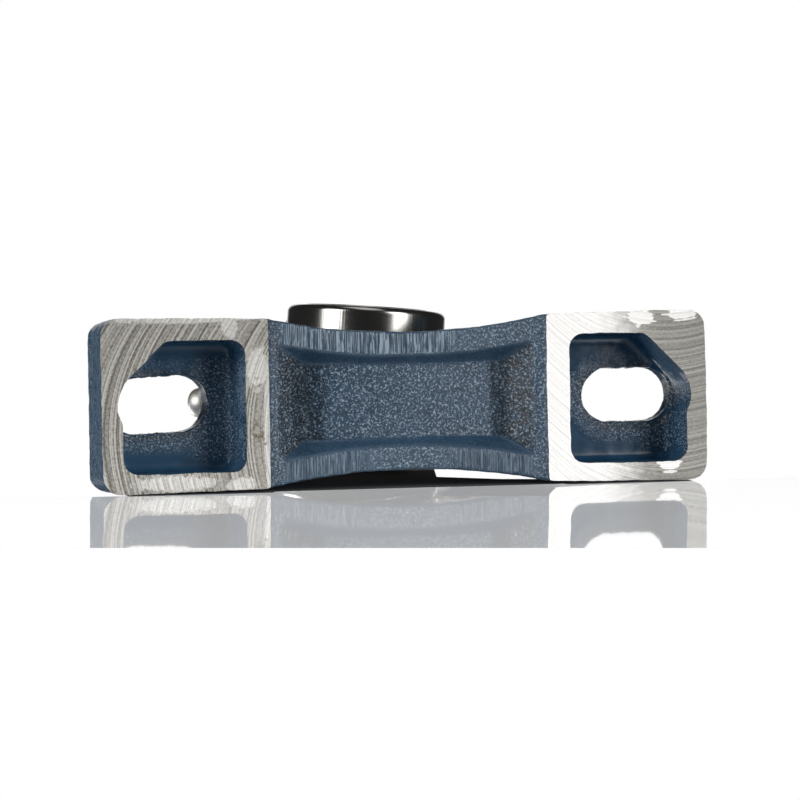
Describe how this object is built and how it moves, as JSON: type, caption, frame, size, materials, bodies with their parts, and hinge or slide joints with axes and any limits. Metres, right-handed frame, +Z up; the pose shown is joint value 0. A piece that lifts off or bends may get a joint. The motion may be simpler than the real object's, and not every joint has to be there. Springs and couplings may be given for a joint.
{
  "type": "pillow block bearing",
  "caption": "Cast two-foot bearing block with a slotted, hollow base and a swivelling sealed ball bearing insert that is clamped to its shaft by set screws.",
  "frame": {"origin": "middle of the base's underside, midway between the two bolt slots, in the plane of the machined pads", "axes": "+Z up from the base, X along the base from foot to foot with the grease nipple on the -X side, Y along the shaft with the screwed end of the inner ring at -Y"},
  "size_m": [0.13, 0.0388, 0.07],
  "materials": {
    "blue_paint": "rough cast, painted; pads machined bare",
    "bearing_steel": "ground and polished",
    "ball_steel": "mirror polished",
    "cage_plastic": "moulded",
    "seal_steel": "pressed sheet",
    "seal_rubber": "moulded",
    "screw_steel": "black oxide",
    "nipple_steel": "bright zinc plate"
  },
  "bodies": {
    "housing_body": {"housing": "blue_paint", "nipple_body": "nipple_steel"},
    "insert": {"outer_ring": "bearing_steel", "seal_shell_front": "seal_steel", "seal_shell_rear": "seal_steel", "seal_lip_front": "seal_rubber", "seal_lip_rear": "seal_rubber"},
    "shaft_ring": {"inner_ring": "bearing_steel", "flinger_front": "seal_steel", "flinger_rear": "seal_steel"},
    "cage_body": {"cage": "cage_plastic"},
    "screw_left": {"set_screw_left": "screw_steel"},
    "screw_right": {"set_screw_right": "screw_steel"},
    "nipple_valve": {"nipple_ball": "ball_steel", "nipple_spring": "nipple_steel"},
    "ball_1_body": {"ball_1": "ball_steel"},
    "ball_2_body": {"ball_2": "ball_steel"},
    "ball_3_body": {"ball_3": "ball_steel"},
    "ball_4_body": {"ball_4": "ball_steel"},
    "ball_5_body": {"ball_5": "ball_steel"},
    "ball_6_body": {"ball_6": "ball_steel"},
    "ball_7_body": {"ball_7": "ball_steel"},
    "ball_8_body": {"ball_8": "ball_steel"},
    "ball_9_body": {"ball_9": "ball_steel"}
  },
  "joints": [
    {"name": "insert_swivel", "type": "hinge", "parent": "housing_body", "child": "insert", "pos_m": [0, 0, 0.0365], "axis": [0, 0, 1], "range_deg": [-24.6, 15.4]},
    {"name": "inner_ring_spin", "type": "hinge", "parent": "insert", "child": "shaft_ring", "pos_m": [0, 0, 0.0365], "axis": [0.0802, -0.9968, 0], "continuous": true},
    {"name": "cage_orbit", "type": "hinge", "parent": "insert", "child": "cage_body", "pos_m": [0, 0, 0.0365], "axis": [0.0802, -0.9968, 0], "continuous": true},
    {"name": "ball_1_roll", "type": "hinge", "parent": "cage_body", "child": "ball_1_body", "pos_m": [0, 0, 0.05575], "axis": [0.0802, -0.9968, 0], "continuous": true},
    {"name": "ball_2_roll", "type": "hinge", "parent": "cage_body", "child": "ball_2_body", "pos_m": [0.01233, 0.00099, 0.05125], "axis": [0.0802, -0.9968, 0], "continuous": true},
    {"name": "ball_3_roll", "type": "hinge", "parent": "cage_body", "child": "ball_3_body", "pos_m": [0.0189, 0.00152, 0.03984], "axis": [0.0802, -0.9968, 0], "continuous": true},
    {"name": "ball_4_roll", "type": "hinge", "parent": "cage_body", "child": "ball_4_body", "pos_m": [0.01662, 0.00134, 0.02687], "axis": [0.0802, -0.9968, 0], "continuous": true},
    {"name": "ball_5_roll", "type": "hinge", "parent": "cage_body", "child": "ball_5_body", "pos_m": [0.00656, 0.00053, 0.01841], "axis": [0.0802, -0.9968, 0], "continuous": true},
    {"name": "ball_6_roll", "type": "hinge", "parent": "cage_body", "child": "ball_6_body", "pos_m": [-0.00656, -0.00053, 0.01841], "axis": [0.0802, -0.9968, 0], "continuous": true},
    {"name": "ball_7_roll", "type": "hinge", "parent": "cage_body", "child": "ball_7_body", "pos_m": [-0.01662, -0.00134, 0.02687], "axis": [0.0802, -0.9968, 0], "continuous": true},
    {"name": "ball_8_roll", "type": "hinge", "parent": "cage_body", "child": "ball_8_body", "pos_m": [-0.0189, -0.00152, 0.03984], "axis": [0.0802, -0.9968, 0], "continuous": true},
    {"name": "ball_9_roll", "type": "hinge", "parent": "cage_body", "child": "ball_9_body", "pos_m": [-0.01233, -0.00099, 0.05125], "axis": [0.0802, -0.9968, 0], "continuous": true},
    {"name": "set_screw_left_travel", "type": "slide", "parent": "shaft_ring", "child": "screw_left", "axis": [0.8632, 0.0695, -0.5], "range_m": [-0.002, 0.0004]},
    {"name": "set_screw_right_travel", "type": "slide", "parent": "shaft_ring", "child": "screw_right", "axis": [-0.8632, -0.0695, -0.5], "range_m": [-0.002, 0.0004]},
    {"name": "nipple_valve_travel", "type": "slide", "parent": "housing_body", "child": "nipple_valve", "axis": [0.7071, 0, -0.7071], "range_m": [0, 0.0004], "stiffness_N_per_m": 300, "springref_m": -0.001}
  ],
  "couplings": [
    {"joint": "cage_orbit", "follows": "inner_ring_spin", "ratio": 0.3969},
    {"joint": "ball_1_roll", "follows": "inner_ring_spin", "ratio": -2.322},
    {"joint": "ball_2_roll", "follows": "inner_ring_spin", "ratio": -2.322},
    {"joint": "ball_3_roll", "follows": "inner_ring_spin", "ratio": -2.322},
    {"joint": "ball_4_roll", "follows": "inner_ring_spin", "ratio": -2.322},
    {"joint": "ball_5_roll", "follows": "inner_ring_spin", "ratio": -2.322},
    {"joint": "ball_6_roll", "follows": "inner_ring_spin", "ratio": -2.322},
    {"joint": "ball_7_roll", "follows": "inner_ring_spin", "ratio": -2.322},
    {"joint": "ball_8_roll", "follows": "inner_ring_spin", "ratio": -2.322},
    {"joint": "ball_9_roll", "follows": "inner_ring_spin", "ratio": -2.322}
  ]
}
